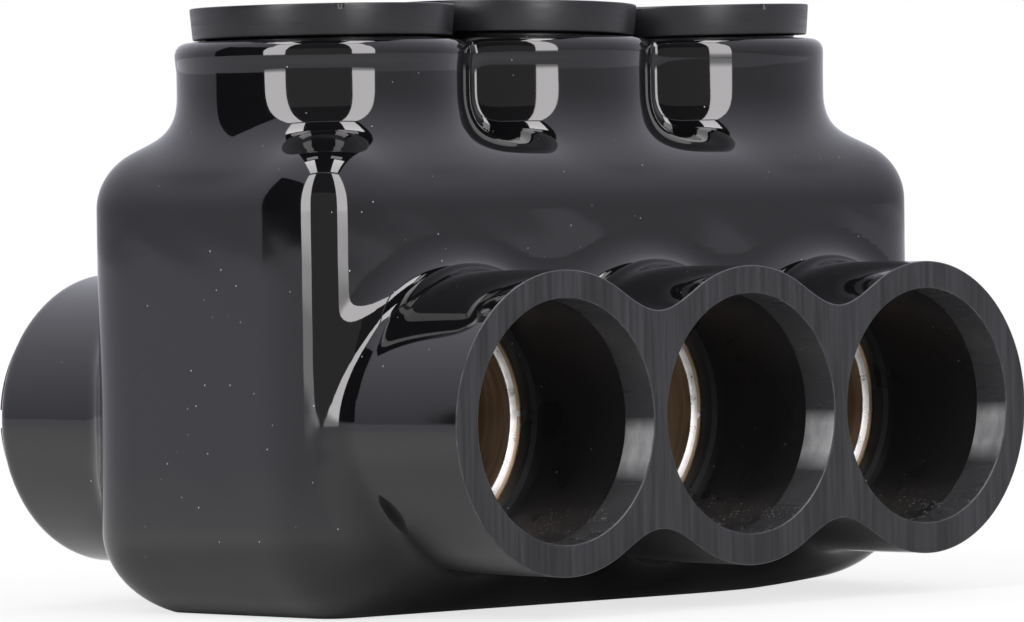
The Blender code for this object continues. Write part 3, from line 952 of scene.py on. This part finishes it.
class BuildAccessPlugs(ConnectorPiece, bpy.types.Operator):
    """Build the plugs over the screws"""

    bl_idname = "connector.build_access_plugs"
    bl_label = "Access plugs"

    def execute(self, context):
        sizes = context.scene.connector_plugs
        steps = context.scene.connector_metal.round_steps
        finish = plug_finish(context.scene.connector_colours)
        form = (sizes.access_radius, sizes.access_draft, sizes.access_thickness, sizes.access_stem)
        outline = soft_outline(plug_outline(sizes, *form), sizes.edge)
        beside = (PORT_PITCH - sizes.neighbour_gap) / 2
        for index, (x, top, tilt) in enumerate(zip(PORT_X, COLLAR_TOPS, ACCESS_TILT)):
            name = f"moulded_access_plug_{index + 1}"
            place = upright(x, top + sizes.access_gap) @ Matrix.Rotation(tilt, 4, "Y")
            plug = turned(name, outline, steps, place)
            for side in (-1, 1):
                if 0 <= index + side < len(PORT_X):
                    near, far = side * beside, side * (beside + OVERCUT)
                    low = Vector((x + min(near, far), -sizes.access_radius, top - OVERCUT))
                    high = Vector((x + max(near, far), sizes.access_radius, top + 2 * OVERCUT))
                    cut(plug, box_object("flange_flat", low, high))
            if GATE_ANGLES[index] is not None:
                outward = sizes.access_radius + sizes.gate_radius - sizes.gate_depth
                turn = Matrix.Rotation(GATE_ANGLES[index], 4, "Z")
                place = place @ turn @ Matrix.Translation((0, -outward, sizes.access_thickness))
                cut(plug, turned("gate_recess", self.gate_outline(sizes), 32, place))
            smooth(plug, 30.0)
            give_finish(plug, [finish])
            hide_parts(f"access_plug_{index + 1}")
            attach(plug, f"access_plug_{index + 1}")
        return {"FINISHED"}

    @staticmethod
    def gate_outline(sizes):
        """A short rod with a round end, cut into the flange's side from its top."""
        outline = [(0.0, OVERCUT), (sizes.gate_radius, OVERCUT)]
        for step in range(5):
            angle = math.radians(90 * step / 5)
            height = -sizes.gate_height + sizes.gate_radius * (1 - math.sin(angle))
            outline.append((sizes.gate_radius * math.cos(angle), height))
        outline.append((0.0, -sizes.gate_height))
        return outline


class BuildPortPlugs(ConnectorPiece, bpy.types.Operator):
    """Build the plugs in the back tubes"""

    bl_idname = "connector.build_port_plugs"
    bl_label = "Port plugs"

    def execute(self, context):
        sizes = context.scene.connector_plugs
        steps = context.scene.connector_metal.round_steps
        finish = plug_finish(context.scene.connector_colours)
        form = (sizes.port_radius, 0.0, sizes.port_thickness, sizes.port_stem)
        outline = soft_outline(plug_outline(sizes, *form), sizes.edge)
        turn = Matrix.Rotation(-math.pi / 2, 4, "X")
        half = sizes.notch_width / 2
        for port, x in zip(PORTS, PORT_X):
            name = f"moulded_port_plug_{port}"
            place = Matrix.Translation((x, MOUTH_PLANE + sizes.port_gap, BORE_HEIGHT))
            plug = turned(name, outline, steps, place @ turn)
            low = place @ Vector((-sizes.port_radius - OVERCUT, -OVERCUT, -half))
            high = place @ Vector((-sizes.port_radius + sizes.notch_depth, OVERCUT, half))
            cut(plug, box_object("pry_notch", low, high))
            smooth(plug, 30.0)
            give_finish(plug, [finish])
            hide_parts(f"port_plug_{port}")
            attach(plug, f"port_plug_{port}")
        return {"FINISHED"}


# Studio

FOCAL_LENGTH = 236.8
CAMERA_AIM = Vector((0.0, 0.0, 0.0299))
FLOOR_RINGS = (0.12, 0.3, 0.8, 2.5, 12.0)
FLOOR_STEPS = 64
STRIP_TOP = 1.33
STRIP_FADE = (0.018, 0.050)
ROOF_HEIGHT = 1.42
# Name, angles of the two edges in degrees from the camera's side, and shift of the dim strip
STRIPS = (("left", -44.6, -26.6, 0.10), ("right", 20.6, 40.0, -0.10))
# Name, brightness, distance, angles of the two edges, foot and top
SCREENS = (
    ("left_screen", 0.0, 1.05, -89.5, -43.0, 0.034, 0.84),
    ("camera_screen", 0.40, 0.70, -28.0, 22.0, 0.001, 0.33),
    ("upper_camera_screen", 0.10, 0.70, -28.0, 22.0, 0.331, 1.33),
)
# Name, angle from the camera's side, height, size and power
LAMPS = (
    ("key_lamp", -35.0, 0.55, 0.5, 3.2),
    ("fill_lamp", 40.0, 0.45, 0.5, 2.4),
    ("rear_lamp", 170.0, 0.60, 0.6, 2.0),
)


def run_back(edge, back):
    """The four corners of a level card that starts at an edge."""
    return edge + [edge[1] - back, edge[0] - back]


class BuildStudio(bpy.types.Operator):
    """Set up the floor, the surround, the lights and the camera"""

    bl_idname = "connector.build_studio"
    bl_label = "Studio"

    def execute(self, context):
        studio = context.scene.connector_studio
        self.add_world(context.scene, studio)
        self.add_floor(studio)
        self.add_cards(studio)
        self.add_lamps(studio)
        self.add_camera(context.scene, studio)
        context.scene.view_settings.view_transform = "Standard"
        return {"FINISHED"}

    @staticmethod
    def add_world(scene, studio):
        """A white room whose reflections run from its walls to its brighter ceiling."""
        world = bpy.data.worlds.new("white_room")
        world.use_nodes = True
        shading = ShaderTree(world.node_tree)
        glossy = shading.node("ShaderNodeLightPath").outputs["Is Glossy Ray"]
        direction = shading.node("ShaderNodeTexCoord").outputs["Generated"]
        plain = shading.ranged(shading.seen_rays(), 0.0, 1.0, studio.surround, 1.0)
        room = shading.ranged(shading.height(direction), 0.0, 0.8, studio.wall_light, studio.ceiling_light)
        strength = shading.node("ShaderNodeMix")
        for socket, value in ((0, glossy), (2, plain), (3, room)):
            shading.link(value, strength, socket)
        background = shading.tree.nodes["Background"]
        shading.link(strength.outputs[0], background, "Strength")
        shading.link(shading.mixed_colour(glossy, WHITE, (1.0, 1.0, 1.12)), background, "Color")
        scene.world = world

    @staticmethod
    def add_floor(studio):
        """A floor that fades to white away from the object."""
        angles = np.arange(FLOOR_STEPS) * 2 * math.pi / FLOOR_STEPS
        points = [(0.0, 0.0, 0.0)]
        for radius in FLOOR_RINGS:
            points += [(radius * math.cos(a), radius * math.sin(a), 0.0) for a in angles]
        faces = []
        for step in range(FLOOR_STEPS):
            near, after = 1 + step, 1 + (step + 1) % FLOOR_STEPS
            faces.append((0, near, after))
            for inner in range(0, FLOOR_STEPS * (len(FLOOR_RINGS) - 1), FLOOR_STEPS):
                outer = inner + FLOOR_STEPS
                faces.append((inner + near, outer + near, outer + after, inner + after))
        floor = new_object("pale_floor", points, faces)
        finish = Finish("pale_floor", studio.floor, 1.0, shine=0.0)
        distance = finish.node("ShaderNodeVectorMath", operation="LENGTH")
        finish.link(finish.place, distance, 0)
        far = finish.ranged(distance.outputs["Value"], 0.10, 0.45)
        path = finish.node("ShaderNodeLightPath").outputs
        direct = finish.combined(path["Is Camera Ray"], studio.floor_glow, "MULTIPLY")
        seen = finish.combined(finish.combined(far, direct, "MAXIMUM"), finish.seen_rays(), "MULTIPLY")
        white = finish.node("ShaderNodeEmission", Strength=1.0)
        finish.link(finish.mixed_colour(path["Is Glossy Ray"], WHITE, (0.93, 0.92, 1.02)), white, "Color")
        mix = finish.node("ShaderNodeMixShader")
        for socket, value in enumerate((seen, finish.shader.outputs[0], white.outputs[0])):
            finish.link(value, mix, socket)
        finish.link(mix.outputs[0], finish.tree.nodes["Material Output"], "Surface")
        give_finish(floor, [finish.material])

    @staticmethod
    def add_card(name, points, brightness, foot_share=1.0):
        """A card that only reflections see. It can be dimmer near the floor, down to a share at its foot."""
        card = new_object(name, points, [(0, 1, 2, 3)])
        finish = Finish(name, (0.0, 0.0, 0.0), 1.0, shine=0.0)
        finish.shader.inputs["Emission Color"].default_value = (1.0, 0.97, 0.99, 1.0)
        finish.shader.inputs["Emission Strength"].default_value = brightness
        if foot_share < 1.0:
            height = finish.height(finish.place)
            fade = finish.ranged(height, *STRIP_FADE, brightness * foot_share, brightness)
            finish.link(fade, finish.shader, "Emission Strength")
        give_finish(card, [finish.material])
        card.visible_camera = False
        card.visible_diffuse = False
        card.visible_shadow = False

    def add_cards(self, studio):
        """Strip lights beside the camera and overhead, with dark screens between and beside them."""
        azimuth, light = studio.camera_azimuth, studio.strip_light
        towards, sideways = on_floor(azimuth), on_floor(azimuth + math.pi / 2)
        front = studio.strip_distance
        ahead = front - 0.05

        def place(angle, ahead, height):
            """The point at an angle from the camera's side, so far ahead of the object and so high."""
            return towards * ahead + sideways * ahead * math.tan(math.radians(angle)) + Vector((0, 0, height))

        for side, left, right, shift in STRIPS:
            corners = ((left, 0.001), (right, 0.001), (right, STRIP_TOP), (left, STRIP_TOP))
            points = [place(angle, front, height) for angle, height in corners]
            self.add_card(f"{side}_strip", points, light, 0.33)
            edge = [place(left, ahead, ROOF_HEIGHT), place(right, ahead, ROOF_HEIGHT)]
            self.add_card(f"{side}_roof_strip", run_back(edge, towards * (ahead + 0.12)), light)
            edge = [point - towards * (ahead + 0.16) + sideways * shift for point in edge]
            self.add_card(f"{side}_dim_strip", run_back(edge, towards * 0.16), 0.28 * light)
        for name, brightness, distance, left, right, foot, top in SCREENS:
            corners = ((left, foot), (right, foot), (right, top), (left, top))
            points = [
                on_floor(azimuth + math.radians(angle)) * distance + Vector((0, 0, height))
                for angle, height in corners
            ]
            self.add_card(name, points, brightness)
        middle = towards * 0.66 + Vector((0, 0, 1.50))
        edge = [middle - sideways * 0.62, middle + sideways * 0.62]
        self.add_card("roof_screen", run_back(edge, towards * 1.56), 0.0)

    @staticmethod
    def add_lamps(studio):
        """Soft lamps that give the plain level of light."""
        for name, turn, height, size, power in LAMPS:
            lamp = bpy.data.lights.new(name, "AREA")
            lamp.size = size
            lamp.energy = power
            item = scene_object(name, lamp)
            towards = on_floor(studio.camera_azimuth + math.radians(turn))
            item.location = towards * 0.7 + Vector((0, 0, height))
            item.rotation_mode = "QUATERNION"
            item.rotation_quaternion = item.location.to_track_quat("Z", "Y")
            item.visible_glossy = False
            item.visible_camera = False

    @staticmethod
    def add_camera(scene, studio):
        azimuth, elevation, roll = studio.camera_azimuth, studio.camera_elevation, studio.camera_roll
        back = on_floor(azimuth) * math.cos(elevation) + Vector((0, 0, math.sin(elevation)))
        right = on_floor(azimuth + math.pi / 2)
        up = back.cross(right)
        across = right * math.cos(roll) + up * math.sin(roll)
        upward = up * math.cos(roll) - right * math.sin(roll)
        lens = bpy.data.cameras.new("product_camera")
        lens.sensor_width = 36.0
        lens.lens = FOCAL_LENGTH
        lens.clip_start = 0.01
        lens.clip_end = 50.0
        camera = scene_object("product_camera", lens)
        turn = Matrix((across, upward, back)).transposed().to_4x4()
        camera.matrix_world = Matrix.Translation(CAMERA_AIM + back * studio.camera_distance) @ turn
        scene.camera = camera


BUILDERS = (BuildCover, BuildBlock, BuildSetScrews, BuildAccessPlugs, BuildPortPlugs, BuildStudio)
GROUPS = {
    "connector_insulation": InsulationSizes,
    "connector_metal": MetalSizes,
    "connector_plugs": PlugSizes,
    "connector_colours": FinishColours,
    "connector_studio": StudioSettings,
}


class ConnectorPanel(bpy.types.Panel):
    """Lists the sizes and the pieces of the connector."""

    bl_idname = "VIEW3D_PT_multi_tap_connector"
    bl_label = "Multi-tap connector"
    bl_space_type = "VIEW_3D"
    bl_region_type = "UI"
    bl_category = "Connector"

    def draw(self, context):
        for name, group in GROUPS.items():
            box = self.layout.box()
            for setting in group.__annotations__:
                label = setting.replace("_", " ").capitalize()
                box.prop(getattr(context.scene, name), setting, text=label)
        for builder in BUILDERS:
            self.layout.operator(builder.bl_idname)


CLASSES = (*GROUPS.values(), *BUILDERS, ConnectorPanel)


def register():
    for item in CLASSES:
        bpy.utils.register_class(item)
    for name, group in GROUPS.items():
        setattr(bpy.types.Scene, name, PointerProperty(type=group))


def unregister():
    for name in GROUPS:
        delattr(bpy.types.Scene, name)
    for item in reversed(CLASSES):
        bpy.utils.unregister_class(item)


def main():
    register()
    for builder in BUILDERS:
        family, action = builder.bl_idname.split(".")
        getattr(getattr(bpy.ops, family), action)()


if __name__ == "__main__":
    main()
